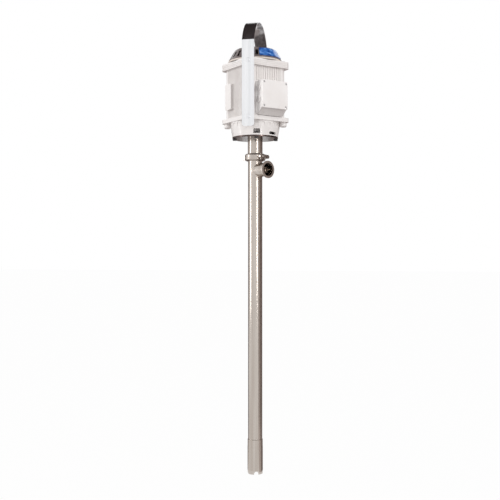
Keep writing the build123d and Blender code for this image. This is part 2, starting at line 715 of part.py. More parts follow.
STEP_BAND = 4.0
with BuildPart() as end_shield:
    with BuildSketch(Plane.XY.offset(body_top)):
        RectangleRounded(2 * FLANGE_HALF, 2 * FLANGE_HALF, FLANGE_CORNER, rotation=45)
    extrude(amount=UPPER_FLANGE_T)
    for k in range(3):
        with BuildSketch(Plane.XY.offset(body_top + STEP_BAND * (1.5 * k + 0.75))):
            RectangleRounded(2 * FLANGE_HALF + 9, 2 * FLANGE_HALF + 9, FLANGE_CORNER + 4.5, rotation=45)
            RectangleRounded(2 * FLANGE_HALF - 3, 2 * FLANGE_HALF - 3, FLANGE_CORNER - 1.5, rotation=45,
                             mode=Mode.SUBTRACT)
        extrude(amount=STEP_BAND / 2, mode=Mode.SUBTRACT)
    with BuildSketch(Plane.XY.offset(high_bearing_z)):
        Circle(BEARING_R + SEAT)
    extrude(amount=UPPER_FLANGE_T, mode=Mode.SUBTRACT)
    with BuildSketch(Plane.XY.offset(body_top)):
        Circle(BEARING_BORE_R + 5)
    extrude(amount=UPPER_FLANGE_T, mode=Mode.SUBTRACT)
save(end_shield.part, "non_drive_end_shield")

# ---------------------------------------------------------------- fan and cowl
with BuildPart() as fan:
    with BuildSketch(Plane.XY.offset(FAN_Z)):
        Circle(FAN_R)
    extrude(amount=2.5)
    with BuildSketch(Plane.XY.offset(FAN_Z)):
        Circle(17)
    extrude(amount=FAN_H)
    with BuildSketch(Plane.XY.offset(FAN_Z)):
        with PolarLocations((FAN_R + 15) / 2, FAN_BLADES):
            Rectangle(FAN_R - 17, 2.4)
    extrude(amount=FAN_H)
    with BuildSketch(Plane.XY.offset(FAN_Z)):
        Circle(MOTOR_SHAFT_R + SEAT)
    extrude(amount=FAN_H, mode=Mode.SUBTRACT)
save(fan.part, "cooling_fan")

with BuildPart() as fan_cowl:
    with BuildSketch(Plane(Vector(0, 0, COWL_Z), x_dir=(1, 0, 0), z_dir=(0, -1, 0))):
        with BuildLine():
            rim = Line((COWL_R, 0), (COWL_R, COWL_RIM_H))
            slope = Line((COWL_R, COWL_RIM_H), (COWL_TOP_R + 5, COWL_TOP - COWL_Z - 4))
            shoulder = ThreePointArc((COWL_TOP_R + 5, COWL_TOP - COWL_Z - 4),
                                     (COWL_TOP_R + 1.5, COWL_TOP - COWL_Z - 1), (COWL_TOP_R - 3, COWL_TOP - COWL_Z))
            Line((COWL_TOP_R - 3, COWL_TOP - COWL_Z), (0, COWL_TOP - COWL_Z))
            Line((0, COWL_TOP - COWL_Z), (0, COWL_TOP - COWL_Z - COWL_WALL))
            Line((0, COWL_TOP - COWL_Z - COWL_WALL), (COWL_TOP_R - 4, COWL_TOP - COWL_Z - COWL_WALL))
            Line((COWL_TOP_R - 4, COWL_TOP - COWL_Z - COWL_WALL), (COWL_R - COWL_WALL - 1, COWL_RIM_H - 1))
            Line((COWL_R - COWL_WALL - 1, COWL_RIM_H - 1), (COWL_R - COWL_WALL - 1, 0))
            Line((COWL_R - COWL_WALL - 1, 0), (COWL_R, 0))
        make_face()
    revolve(axis=Axis.Z)
    with BuildSketch(Plane.XY.offset(COWL_Z + COWL_RIM_H + 5)):
        with PolarLocations((COWL_R + COWL_TOP_R) / 2, COWL_VENTS):
            Rectangle(COWL_R - COWL_TOP_R + 14, 10)
    extrude(amount=22, mode=Mode.SUBTRACT)
save(fan_cowl.part, "fan_cowl")

# ---------------------------------------------------------------- terminal box
box_dir = turned(45)
box_face = FRAME_HALF
box_depth = BOX_OUT - LID_T - LID_GASKET_T
box_side = Vector(0, 0, 1).cross(box_dir)


def box_plane(out):
    return upright(box_dir, (BOX_Z + BOX_TOP) / 2, box_face + out)


box_h = BOX_TOP - BOX_Z
with BuildPart() as terminal_box:
    with BuildSketch(Plane(box_dir * box_face + Vector(0, 0, BOX_Z) + box_side * (BOX_W / 2),
                           x_dir=box_dir, z_dir=-box_side)):
        with BuildLine():
            Polyline((0, 0), (0, box_h), (box_depth, box_h), (box_depth, BOX_SLOPE), (box_depth * 0.35, 0), close=True)
        make_face()
    extrude(amount=BOX_W)
    with BuildSketch(Plane(box_dir * box_face + Vector(0, 0, BOX_Z) + box_side * (BOX_W / 2 - BOX_WALL),
                           x_dir=box_dir, z_dir=-box_side)):
        with BuildLine():
            Polyline((BOX_WALL, BOX_WALL), (BOX_WALL, box_h - BOX_WALL), (box_depth, box_h - BOX_WALL),
                     (box_depth, BOX_SLOPE + BOX_WALL), (box_depth * 0.35, BOX_WALL), close=True)
        make_face()
    extrude(amount=BOX_W - 2 * BOX_WALL, mode=Mode.SUBTRACT)
    entry_axis = box_dir * (box_face + ENTRY_OUT)
    for z in PLUG_ZS:
        with BuildSketch(Plane(entry_axis + Vector(0, 0, z), x_dir=box_dir, z_dir=-box_side)):
            Circle(ENTRY_R)
        extrude(amount=BOX_W, mode=Mode.SUBTRACT)
    with BuildSketch(Plane(entry_axis + Vector(0, 0, ENTRY_Z), x_dir=box_dir, z_dir=box_side)):
        Circle(ENTRY_R)
    extrude(amount=BOX_W, mode=Mode.SUBTRACT)
save(terminal_box.part, "terminal_box")

lid_h = box_h - BOX_SLOPE
lid_z = BOX_Z + BOX_SLOPE + lid_h / 2
with BuildPart() as lid_gasket:
    with BuildSketch(upright(box_dir, lid_z, box_face + box_depth)):
        RectangleRounded(BOX_W - 1, lid_h - 1, 4)
        RectangleRounded(BOX_W - 2 * BOX_WALL, lid_h - 2 * BOX_WALL, 2, mode=Mode.SUBTRACT)
    extrude(amount=LID_GASKET_T)
save(lid_gasket.part, "lid_gasket")

screw_x = BOX_W - 14
screw_z = lid_h - 14
with BuildPart() as box_lid:
    with BuildSketch(upright(box_dir, lid_z, box_face + box_depth + LID_GASKET_T)):
        RectangleRounded(BOX_W + 2, lid_h + 2, 5)
    extrude(amount=LID_T)
    outer = box_lid.faces().sort_by(Axis((0, 0, 0), box_dir))[-1]
    fillet(outer.edges(), 2)
    with BuildSketch(upright(box_dir, lid_z, box_face + BOX_OUT - 3)):
        with GridLocations(screw_x, screw_z, 2, 2):
            Circle(4 + SEAT)
    extrude(amount=4, mode=Mode.SUBTRACT)
save(box_lid.part, "terminal_box_lid")

with BuildPart() as lid_screws:
    with BuildSketch(upright(box_dir, lid_z, box_face + BOX_OUT - 3)):
        with GridLocations(screw_x, screw_z, 2, 2):
            Circle(4)
    extrude(amount=2.6)
save(lid_screws.part, "lid_screws")

with BuildPart() as terminal_block:
    with BuildSketch(upright(box_dir, lid_z, box_face + BOX_WALL)):
        Rectangle(60, 34)
    extrude(amount=14)
    with BuildSketch(upright(box_dir, lid_z, box_face + BOX_WALL + 14)):
        with GridLocations(18, 16, 3, 2):
            Circle(2.5)
    extrude(amount=7)
save(terminal_block.part, "terminal_block")

PLUG_RIM = 3.0
PLUG_HEAD = 4.0
PLUG_DEEP = 8.0
with BuildPart() as blanking_plugs:
    for z in PLUG_ZS:
        plug_origin = entry_axis + Vector(0, 0, z) - box_side * (BOX_W / 2)
        with BuildSketch(Plane(plug_origin, x_dir=box_dir, z_dir=-box_side)):
            Circle(ENTRY_R + PLUG_RIM)
        extrude(amount=PLUG_HEAD)
        with BuildSketch(Plane(plug_origin, x_dir=box_dir, z_dir=box_side)):
            Circle(ENTRY_R - SEAT)
        extrude(amount=PLUG_DEEP)
save(blanking_plugs.part, "blanking_plugs")

# ---------------------------------------------------------------- blue panel on the cowl
panel_dir = turned(PANEL_TURN)
slope_run = COWL_R - COWL_TOP_R - 5
slope_rise = COWL_TOP - COWL_Z - 4 - COWL_RIM_H
with BuildPart() as cowl_panel:
    with BuildSketch(Plane(Vector(0, 0, COWL_Z), x_dir=panel_dir, z_dir=panel_dir.cross(Vector(0, 0, 1)))):
        with BuildLine():
            foot = (COWL_R + SEAT - slope_run * 0.08, COWL_RIM_H + slope_rise * 0.08)
            head = (COWL_R + SEAT - slope_run * 0.95, COWL_RIM_H + slope_rise * 0.95)
            Polyline(foot, head, (head[0] + 2.5, head[1] + 1.5), (foot[0] + 2.5, foot[1] + 1.5), close=True)
        make_face()
    revolve(axis=Axis.Z, revolution_arc=PANEL_ARC)
save(cowl_panel.part, "cowl_panel")

# ---------------------------------------------------------------- handle
arch_r = STRAP_Y + STRAP_T + ARCH_SPARE
arch_top = STRAP_BEND + ARCH_RISE
arch_mid = arch_top - arch_r
outer_y = STRAP_Y + STRAP_T
bend_y = sqrt(arch_r ** 2 - (STRAP_BEND - arch_mid) ** 2)
inner_r = arch_r - STRAP_T
inner_bend_y = sqrt(inner_r ** 2 - (STRAP_BEND - arch_mid) ** 2)
with BuildPart() as handle_strap:
    with BuildSketch(Plane.YZ.offset(-STRAP_W / 2)):
        with BuildLine():
            Line((outer_y, STRAP_FOOT), (outer_y, STRAP_BEND - BEND_DROP))
            Line((outer_y, STRAP_BEND - BEND_DROP), (bend_y, STRAP_BEND))
            ThreePointArc((bend_y, STRAP_BEND), (0, arch_top), (-bend_y, STRAP_BEND))
            Line((-bend_y, STRAP_BEND), (-outer_y, STRAP_BEND - BEND_DROP))
            Line((-outer_y, STRAP_BEND - BEND_DROP), (-outer_y, STRAP_FOOT))
            Line((-outer_y, STRAP_FOOT), (-STRAP_Y, STRAP_FOOT))
            Line((-STRAP_Y, STRAP_FOOT), (-STRAP_Y, STRAP_BEND - BEND_DROP))
            Line((-STRAP_Y, STRAP_BEND - BEND_DROP), (-inner_bend_y, STRAP_BEND))
            ThreePointArc((-inner_bend_y, STRAP_BEND), (0, arch_top - STRAP_T), (inner_bend_y, STRAP_BEND))
            Line((inner_bend_y, STRAP_BEND), (STRAP_Y, STRAP_BEND - BEND_DROP))
            Line((STRAP_Y, STRAP_BEND - BEND_DROP), (STRAP_Y, STRAP_FOOT))
            Line((STRAP_Y, STRAP_FOOT), (outer_y, STRAP_FOOT))
        make_face()
    extrude(amount=STRAP_W)
    fillet(handle_strap.edges().filter_by(Axis.Y).group_by(Axis.Z)[0], 10)
    with BuildSketch(Plane.XZ):
        with Locations((0, FRAME_Z + LOWER_FLANGE_T / 2), (0, body_top + UPPER_FLANGE_T / 2)):
            Circle(STRAP_BOLT_R + SEAT)
    extrude(amount=2 * STRAP_Y, both=True, mode=Mode.SUBTRACT)
save(handle_strap.part, "handle_strap")

corner_reach = ear_reach + FLANGE_CORNER
with BuildPart() as handle_bolts:
    for sign in (1, -1):
        outward = Vector(0, sign, 0)
        for z in (FRAME_Z + LOWER_FLANGE_T / 2, body_top + UPPER_FLANGE_T / 2):
            with BuildSketch(Plane(outward * corner_reach + Vector(0, 0, z), x_dir=(1, 0, 0), z_dir=outward)):
                Circle(STRAP_BOLT_R)
            extrude(amount=outer_y - corner_reach)
            with BuildSketch(Plane(outward * outer_y + Vector(0, 0, z), x_dir=(1, 0, 0), z_dir=outward)):
                Circle(7.5)
            extrude(amount=4)
save(handle_bolts.part, "handle_bolts")

# Spacers carry the strap on the corners of the two flanges.
with BuildPart() as strap_spacers:
    for sign in (1, -1):
        outward = Vector(0, sign, 0)
        for z in (FRAME_Z + LOWER_FLANGE_T / 2, body_top + UPPER_FLANGE_T / 2):
            with BuildSketch(Plane(outward * corner_reach + Vector(0, 0, z), x_dir=(1, 0, 0), z_dir=outward)):
                Circle(7)
                Circle(STRAP_BOLT_R + SEAT, mode=Mode.SUBTRACT)
            extrude(amount=STRAP_Y - corner_reach)
save(strap_spacers.part, "strap_spacers")
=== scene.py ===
# %% [markdown]
# # Dressing a drum pump
# The pump's structure comes in finished from the frame. This lesson gives every surface its finish
# and adds the small turned and cast pieces that a workshop would fit last.
# We start by loading the frame and noting its overall box.

# %% Load the frame
from math import cos, pi, radians, sin, sqrt

import bmesh
import bpy
from mathutils import Matrix, Vector


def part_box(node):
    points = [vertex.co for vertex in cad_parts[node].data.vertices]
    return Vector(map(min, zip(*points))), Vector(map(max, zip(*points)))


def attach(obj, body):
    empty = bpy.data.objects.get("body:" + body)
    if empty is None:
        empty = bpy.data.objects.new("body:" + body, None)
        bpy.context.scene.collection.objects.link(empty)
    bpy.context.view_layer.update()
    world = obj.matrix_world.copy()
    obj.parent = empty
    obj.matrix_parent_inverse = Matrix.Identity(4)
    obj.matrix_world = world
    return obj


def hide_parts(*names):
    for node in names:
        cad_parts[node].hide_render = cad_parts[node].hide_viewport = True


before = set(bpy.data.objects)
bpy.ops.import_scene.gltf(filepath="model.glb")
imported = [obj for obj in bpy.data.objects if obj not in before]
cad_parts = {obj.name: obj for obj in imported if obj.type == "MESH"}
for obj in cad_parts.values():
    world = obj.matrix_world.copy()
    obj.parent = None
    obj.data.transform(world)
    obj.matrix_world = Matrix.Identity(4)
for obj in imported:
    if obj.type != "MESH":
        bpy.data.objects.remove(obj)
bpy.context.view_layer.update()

# %% [markdown]
# Every place below is read from the frame, so a piece follows its neighbour if a size changes.
# `low` and `high` give a node's corners, and `facing` turns a bearing from the front into a direction.

# %% Places and directions
Z = Vector((0, 0, 1))


def low(node):
    return Vector(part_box(node)[0])


def high(node):
    return Vector(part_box(node)[1])


def middle(node):
    return (low(node) + high(node)) / 2


def facing(degrees):
    """Level direction, counted from -Y towards +X."""
    return Vector((sin(radians(degrees)), -cos(radians(degrees)), 0))


BRANCH = facing(56)
CLAMP = facing(62)
BOX = facing(45)
print("tube runs from", low("delivery_tube").z, "to", high("delivery_tube").z)

# %% [markdown]
# ## Finishes
# A material is a small network. Each one starts from the same two helpers: `finish` makes the
# shader with its fixed values, and `grain` makes noise in object space, stretched if we want it,
# so a brushed direction or an orange-peel paint comes from the same node.

# %% Helpers for finishes
def finish(name, color, rough, metal=0.0, coat=0.0, coat_rough=0.1, specular=0.5):
    material = bpy.data.materials.new(name)
    material.use_nodes = True
    shader = material.node_tree.nodes["Principled BSDF"]
    shader.inputs["Base Color"].default_value = (*color, 1)
    shader.inputs["Roughness"].default_value = rough
    shader.inputs["Metallic"].default_value = metal
    shader.inputs["Coat Weight"].default_value = coat
    shader.inputs["Coat Roughness"].default_value = coat_rough
    shader.inputs["Specular IOR Level"].default_value = specular
    return material


def grain(material, scale, stretch=(1, 1, 1), detail=4.0):
    nodes, links = material.node_tree.nodes, material.node_tree.links
    place = nodes.new("ShaderNodeTexCoord")
    mapping = nodes.new("ShaderNodeMapping")
    mapping.inputs["Scale"].default_value = stretch
    noise = nodes.new("ShaderNodeTexNoise")
    noise.inputs["Scale"].default_value = scale
    noise.inputs["Detail"].default_value = detail
    links.new(place.outputs["Object"], mapping.inputs["Vector"])
    links.new(mapping.outputs["Vector"], noise.inputs["Vector"])
    return noise.outputs["Fac"]


def spread(material, source, socket, start, end, window=(0.35, 0.65)):
    """Drives a number socket between start and end."""
    nodes, links = material.node_tree.nodes, material.node_tree.links
    ramp = nodes.new("ShaderNodeMapRange")
    ramp.inputs["From Min"].default_value = window[0]
    ramp.inputs["From Max"].default_value = window[1]
    ramp.inputs["To Min"].default_value = start
    ramp.inputs["To Max"].default_value = end
    links.new(source, ramp.inputs["Value"])
    links.new(ramp.outputs["Result"], nodes["Principled BSDF"].inputs[socket])


def tint(material, source, stops):
    """Colours the surface by a ramp of (place, colour) stops."""
    nodes, links = material.node_tree.nodes, material.node_tree.links
    ramp = nodes.new("ShaderNodeValToRGB")
    while len(ramp.color_ramp.elements) < len(stops):
        ramp.color_ramp.elements.new(0.5)
    for element, (place, color) in zip(ramp.color_ramp.elements, stops):
        element.position = place
        element.color = (*color, 1)
    links.new(source, ramp.inputs["Fac"])
    links.new(ramp.outputs["Color"], nodes["Principled BSDF"].inputs["Base Color"])


def relief(material, source, strength, depth):
    """Bumps the surface by depth metres at most."""
    nodes, links = material.node_tree.nodes, material.node_tree.links
    bump = nodes.new("ShaderNodeBump")
    bump.inputs["Strength"].default_value = strength
    bump.inputs["Distance"].default_value = depth
    links.new(source, bump.inputs["Height"])
    links.new(bump.outputs["Normal"], nodes["Principled BSDF"].inputs["Normal"])


# %% [markdown]
# The motor's castings are sprayed with a warm white enamel. Up close it has a faint orange peel,
# and dust dulls it in soft patches, so roughness and colour both wander a little.

# %% White enamel
enamel = finish("warm_white_enamel", (0.87, 0.845, 0.83), 0.3, coat=0.35, coat_rough=0.12)
tint(enamel, grain(enamel, 9), [(0.3, (0.82, 0.785, 0.765)), (0.7, (0.90, 0.88, 0.87))])
spread(enamel, grain(enamel, 26), "Roughness", 0.24, 0.42)
relief(enamel, grain(enamel, 520, detail=2), 0.18, 0.0004)

# %% [markdown]
# The tube is drawn stainless pipe, polished along its length. Grain that is stretched along Z
# leaves fine streaks that break the reflections into soft upright lines, as drawn pipe does.
# The collars and ferrules are turned, so their grain runs round instead.

# %% Stainless steels
drawn_pipe = finish("drawn_stainless_pipe", (0.52, 0.465, 0.42), 0.16, metal=1.0)
tint(drawn_pipe, grain(drawn_pipe, 60, (1, 1, 0.03)),
     [(0.35, (0.46, 0.405, 0.36)), (0.65, (0.57, 0.52, 0.475))])
spread(drawn_pipe, grain(drawn_pipe, 160, (1, 1, 0.004), detail=1), "Roughness", 0.15, 0.22)
relief(drawn_pipe, grain(drawn_pipe, 420, (1, 1, 0.002), detail=0), 0.03, 0.00002)

turned_steel = finish("turned_stainless", (0.76, 0.71, 0.66), 0.2, metal=1.0)
tint(turned_steel, grain(turned_steel, 18), [(0.3, (0.46, 0.41, 0.37)), (0.7, (0.60, 0.55, 0.51))])
spread(turned_steel, grain(turned_steel, 90, (0.2, 0.2, 12)), "Roughness", 0.14, 0.3)
relief(turned_steel, grain(turned_steel, 110, (0.15, 0.15, 18)), 0.12, 0.00008)

cast_steel = finish("cast_stainless", (0.50, 0.45, 0.41), 0.3, metal=1.0)
spread(cast_steel, grain(cast_steel, 140), "Roughness", 0.2, 0.42)
relief(cast_steel, grain(cast_steel, 380), 0.25, 0.00025)

strap_steel = finish("bright_strap_steel", (0.86, 0.865, 0.88), 0.17, metal=1.0)
tint(strap_steel, grain(strap_steel, 30, (1, 1, 0.05)),
     [(0.35, (0.78, 0.79, 0.81)), (0.65, (0.92, 0.92, 0.935))])
spread(strap_steel, grain(strap_steel, 420, (1, 0.04, 0.02)), "Roughness", 0.12, 0.26)
relief(strap_steel, grain(strap_steel, 800, (1, 0.04, 0.015)), 0.08, 0.00005)

bearing_steel = finish("ground_bearing_steel", (0.74, 0.75, 0.77), 0.08, metal=1.0)
spread(bearing_steel, grain(bearing_steel, 300, (0.1, 0.1, 6)), "Roughness", 0.05, 0.14)

# Stainless flange; its near-black base colour is painted shade and painted dark reflection.
flange_steel_painted_shade = finish("flange_painted_dark_reflection", (0.10, 0.075, 0.07), 0.24, metal=1.0)
tint(flange_steel_painted_shade, grain(flange_steel_painted_shade, 35), [(0.3, (0.065, 0.048, 0.045)), (0.7, (0.15, 0.115, 0.105))])
spread(flange_steel_painted_shade, grain(flange_steel_painted_shade, 160), "Roughness", 0.18, 0.34)

# %% [markdown]
# Fasteners are either black-oxided, which looks like warm charcoal with worn edges, or zinc
# plated, which is paler and a little blotchy.

# %% Fastener finishes
black_oxide = finish("black_oxide", (0.028, 0.026, 0.027), 0.38, metal=0.6)
tint(black_oxide, grain(black_oxide, 240), [(0.3, (0.014, 0.013, 0.014)), (0.75, (0.06, 0.055, 0.055))])
relief(black_oxide, grain(black_oxide, 900), 0.15, 0.0001)

zinc = finish("zinc_plate", (0.72, 0.72, 0.73), 0.27, metal=1.0)
tint(zinc, grain(zinc, 150), [(0.3, (0.62, 0.62, 0.63)), (0.7, (0.80, 0.80, 0.81))])
spread(zinc, grain(zinc, 400), "Roughness", 0.2, 0.4)

# %% [markdown]
# The fan cowl is dark brown-black moulded plastic with a fine spark texture. The curved panel on
# its slope is deep glossy blue with paler clouds, under a clear coat that carries the highlights.

# %% Plastics and rubber
cowl_plastic = finish("brown_black_cowl", (0.11, 0.085, 0.082), 0.33, coat=0.4, coat_rough=0.18)
tint(cowl_plastic, grain(cowl_plastic, 30), [(0.3, (0.10, 0.078, 0.076)), (0.7, (0.20, 0.165, 0.16))])
relief(cowl_plastic, grain(cowl_plastic, 1400, detail=2), 0.3, 0.00012)

blue_gloss = finish("blue_gloss_panel", (0.02, 0.11, 0.5), 0.18, coat=1.0, coat_rough=0.05)
tint(blue_gloss, grain(blue_gloss, 46, (1, 1, 1.6), detail=3),
     [(0.28, (0.006, 0.03, 0.16)), (0.42, (0.02, 0.11, 0.42)),
      (0.54, (0.07, 0.22, 0.60)), (0.68, (0.34, 0.55, 0.90))])
relief(blue_gloss, grain(blue_gloss, 60), 0.12, 0.0006)

black_plastic = finish("black_moulding", (0.03, 0.03, 0.032), 0.45)
tint(black_plastic, grain(black_plastic, 60), [(0.3, (0.02, 0.02, 0.022)), (0.7, (0.05, 0.05, 0.052))])
relief(black_plastic, grain(black_plastic, 1300), 0.25, 0.0001)

nitrile = finish("nitrile_rubber", (0.03, 0.029, 0.028), 0.62)
tint(nitrile, grain(nitrile, 70), [(0.3, (0.02, 0.019, 0.018)), (0.7, (0.05, 0.047, 0.045))])
relief(nitrile, grain(nitrile, 700), 0.3, 0.0001)

white_rubber = finish("white_seal_rubber", (0.80, 0.79, 0.76), 0.55)
tint(white_rubber, grain(white_rubber, 60), [(0.3, (0.74, 0.73, 0.69)), (0.7, (0.86, 0.85, 0.82))])

pale_plastic = finish("pale_grey_moulding", (0.74, 0.71, 0.70), 0.42)
tint(pale_plastic, grain(pale_plastic, 60), [(0.3, (0.70, 0.67, 0.66)), (0.7, (0.79, 0.765, 0.755))])
relief(pale_plastic, grain(pale_plastic, 1300), 0.2, 0.0001)

guide_plastic = finish("ivory_guide_plastic", (0.85, 0.83, 0.78), 0.4)
tint(guide_plastic, grain(guide_plastic, 40), [(0.3, (0.80, 0.78, 0.72)), (0.7, (0.88, 0.86, 0.82))])

carbon = finish("seal_carbon", (0.06, 0.06, 0.065), 0.3)
tint(carbon, grain(carbon, 180), [(0.3, (0.04, 0.04, 0.045)), (0.7, (0.09, 0.09, 0.095))])

# %% [markdown]
# Inside the motor, the cores are stacks of thin steel sheets. A wave along Z draws the stack.
# The windings are varnished copper wire laid in rings, and their wave runs along Z too.

# %% Motor inner finishes
def banded(material, axis, scale, strength, depth):
    nodes, links = material.node_tree.nodes, material.node_tree.links
    place = nodes.new("ShaderNodeTexCoord")
    wave = nodes.new("ShaderNodeTexWave")
    wave.wave_type = "BANDS"
    wave.bands_direction = axis
    wave.inputs["Scale"].default_value = scale
    wave.inputs["Distortion"].default_value = 0.4
    links.new(place.outputs["Object"], wave.inputs["Vector"])
    relief(material, wave.outputs["Fac"], strength, depth)


lamination = finish("laminated_core", (0.3, 0.3, 0.31), 0.42, metal=0.8)
tint(lamination, grain(lamination, 90), [(0.3, (0.22, 0.22, 0.23)), (0.7, (0.36, 0.36, 0.37))])
banded(lamination, "Z", 300, 0.5, 0.0003)

copper_wire = finish("varnished_copper", (0.5, 0.2, 0.075), 0.26, metal=0.7, coat=0.7)
tint(copper_wire, grain(copper_wire, 120), [(0.3, (0.36, 0.13, 0.045)), (0.7, (0.6, 0.26, 0.10))])
banded(copper_wire, "Z", 180, 0.6, 0.0006)

# %% [markdown]
# Now each node gets its finish. One table does it, and a check prints any node that was missed.

# %% Finishes onto the nodes
FINISHES = {
    "warm white": (enamel, ("motor_frame", "frame_corner_ears", "non_drive_end_shield", "drive_end_shield",
                            "terminal_box", "terminal_box_lid")),
    "pipe": (drawn_pipe, ("delivery_tube", "outlet_branch", "lantern_tube", "stator_shell", "drive_shaft")),
    "turned": (turned_steel, ("suction_foot", "tube_socket", "discharge_ferrule", "tube_ferrule", "lantern_ferrule",
                              "clamp_bolt", "clamp_hinge_pin", "shaft_coupling", "flexible_shaft", "pump_rotor",
                              "wing_nut")),
    "cast": (cast_steel, ("clamp_half_near", "clamp_half_far")),
    "strap": (strap_steel, ("handle_strap",)),
    "flange": (flange_steel_painted_shade, ("lantern_flange",)),
    "black": (black_oxide, ("flange_bolts", "flange_nuts")),
    "zinc": (zinc, ("handle_bolts", "lid_screws", "strap_spacers", "motor_shaft")),
    "bearing": (bearing_steel, ("bearing_inner_rings", "bearing_outer_rings", "bearing_balls")),
    "cowl": (cowl_plastic, ("fan_cowl",)),
    "blue": (blue_gloss, ("cowl_panel",)),
    "moulding": (black_plastic, ("cooling_fan", "terminal_block")),
    "pale moulding": (pale_plastic, ("blanking_plugs",)),
    "rubber": (nitrile, ("rubber_stator", "lid_gasket")),
    "white rubber": (white_rubber, ("clamp_gasket",)),
    "guide": (guide_plastic, ("shaft_guides",)),
    "carbon": (carbon, ("seal_seat", "seal_rotating_ring")),
    "core": (lamination, ("motor_stator_core", "motor_rotor_core")),
    "copper": (copper_wire, ("motor_windings",)),
}
dressed = set()
for material, names in FINISHES.values():
    for name in names:
        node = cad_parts[name]
        node.data.materials.clear()
        node.data.materials.append(material)
        dressed.add(name)
print("nodes still bare:", sorted(set(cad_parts) - dressed))

# %% [markdown]
# ## Turned pieces
# Weld beads, washers and screw heads are all turned shapes. `spin_into` takes half a section
# as (radius, height) pairs, joins them with edges and spins them a full turn. The normals are
# recalculated because a spin may come out inside out.

# %% Helpers for turned pieces
def keep(mesh_maker, name, material, body="housing", smooth=35):
    """Makes the object, shades it, and seats it on its body."""
    mesh = bpy.data.meshes.new(name)
    mesh_maker.to_mesh(mesh)
    mesh_maker.free()
    piece = bpy.data.objects.new(name, mesh)
    bpy.context.scene.collection.objects.link(piece)
    mesh.materials.append(material)
    mesh.shade_smooth()
    mesh.set_sharp_from_angle(angle=radians(smooth))
    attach(piece, body)
    return piece


def along(origin, axis):
    """Matrix that takes local +Z to axis and the local origin to a place."""
    turn = Vector(axis).normalized().to_track_quat("Z", "Y").to_matrix().to_4x4()
    return Matrix.Translation(origin) @ turn


def pour(maker, made, matrix):
    """Places a finished shape and adds it to a piece."""
    bmesh.ops.transform(made, matrix=matrix, verts=made.verts)
    mesh = bpy.data.meshes.new("part")
    made.to_mesh(mesh)
    made.free()
    maker.from_mesh(mesh)
    bpy.data.meshes.remove(mesh)


def level_edges(made):
    """Edges that lie flat, which are the rims of an upright prism."""
    return [edge for edge in made.edges if abs(edge.verts[0].co.z - edge.verts[1].co.z) < 1e-7]


def spin_into(maker, section, origin, axis=Z, steps=48, closed=False):
    """Turns a section of (radius, height) points round an axis."""
    made = bmesh.new()
    ring = [made.verts.new((radius, 0, height)) for radius, height in section]
    edges = [made.edges.new(pair) for pair in zip(ring, ring[1:])]
    if closed:
        edges.append(made.edges.new((ring[-1], ring[0])))
    bmesh.ops.spin(made, geom=ring + edges, cent=(0, 0, 0), axis=(0, 0, 1), angle=2 * pi,
                   steps=steps, use_merge=True)
    bmesh.ops.remove_doubles(made, verts=made.verts, dist=1e-6)
    bmesh.ops.recalc_face_normals(made, faces=made.faces)
    pour(maker, made, along(origin, axis))


def half_round(radius, size, points=8):
    """Half section of a bead of this size on a pipe of this radius."""
    return [(radius + size * sin(pi * k / points), size * 1.3 * -cos(pi * k / points))
            for k in range(points + 1)]


# %% [markdown]
# Where pipe meets ferrule the real pump has an orbital weld: a low, rounded bead, a little duller
# than the pipe. Four beads share one piece, since all of them belong to the housing.

# %% Weld beads
weld = finish("weld_bead", (0.60, 0.545, 0.50), 0.32, metal=1.0)
tint(weld, grain(weld, 160), [(0.3, (0.50, 0.43, 0.36)), (0.7, (0.70, 0.65, 0.61))])
relief(weld, grain(weld, 420), 0.5, 0.0003)

TUBE_R = high("delivery_tube").x
LANTERN_R = high("lantern_tube").x
BEAD = 0.0007
beads = bmesh.new()
spin_into(beads, half_round(TUBE_R - 0.0001, BEAD), (0, 0, low("tube_ferrule").z))
spin_into(beads, half_round(LANTERN_R - 0.0001, BEAD), (0, 0, high("lantern_ferrule").z))
spin_into(beads, half_round(LANTERN_R - 0.0001, 1.6 * BEAD), (0, 0, high("lantern_tube").z - 1.5 * BEAD))
branch_z = middle("outlet_branch").z
branch_r = (high("outlet_branch").z - low("outlet_branch").z) / 2
FERRULE_H = 0.0126
ferrule_start = BRANCH.dot(middle("discharge_ferrule")) - FERRULE_H / 2
spin_into(beads, half_round(branch_r - 0.0001, BEAD), BRANCH * ferrule_start + Z * branch_z, BRANCH)
keep(beads, "weld_beads", weld)

# %% [markdown]
# ## The saddle weld
# The branch meets the tube along a saddle curve. We spin a small circle round the branch's axis
# and then push each ring out to the tube's surface, whose distance along the branch is the root
# of R squared less the sideways step squared.

# %% Saddle weld
saddle = bmesh.new()
bead_r = 0.0011
spin_into(saddle, [(branch_r + bead_r * cos(2 * pi * k / 8), bead_r * sin(2 * pi * k / 8)) for k in range(8)],
          Z * branch_z, BRANCH, steps=72, closed=True)
across = Z.cross(BRANCH)
for vert in saddle.verts:
    side = vert.co.dot(across)
    side = max(-TUBE_R * 0.999, min(TUBE_R * 0.999, side))
    vert.co += BRANCH * sqrt(TUBE_R ** 2 - side ** 2)
keep(saddle, "saddle_weld", weld)

# %% [markdown]
# ## Screws and bolts
# A socket screw's head is one turned section with a recess in its top. At this size the recess
# can stay round. A hexagon, for bolt heads and nuts, is `create_circle` with six segments,
# extruded and then bevelled along its rims.

# %% Socket screws
def hex_prism(maker, radius, start, height, origin, axis):
    """Hexagon from start to start plus height, with softened rims."""
    made = bmesh.new()
    bmesh.ops.create_circle(made, cap_ends=True, segments=6, radius=radius)
    bmesh.ops.translate(made, verts=made.verts, vec=(0, 0, start))
    raised = bmesh.ops.extrude_face_region(made, geom=list(made.faces))
    tips = [item for item in raised["geom"] if isinstance(item, bmesh.types.BMVert)]
    bmesh.ops.translate(made, verts=tips, vec=(0, 0, height))
    bmesh.ops.bevel(made, geom=level_edges(made), offset=radius * 0.07, segments=2, affect="EDGES",
                    profile=0.5, material=-1)
    bmesh.ops.recalc_face_normals(made, faces=made.faces)
    pour(maker, made, along(origin, axis))


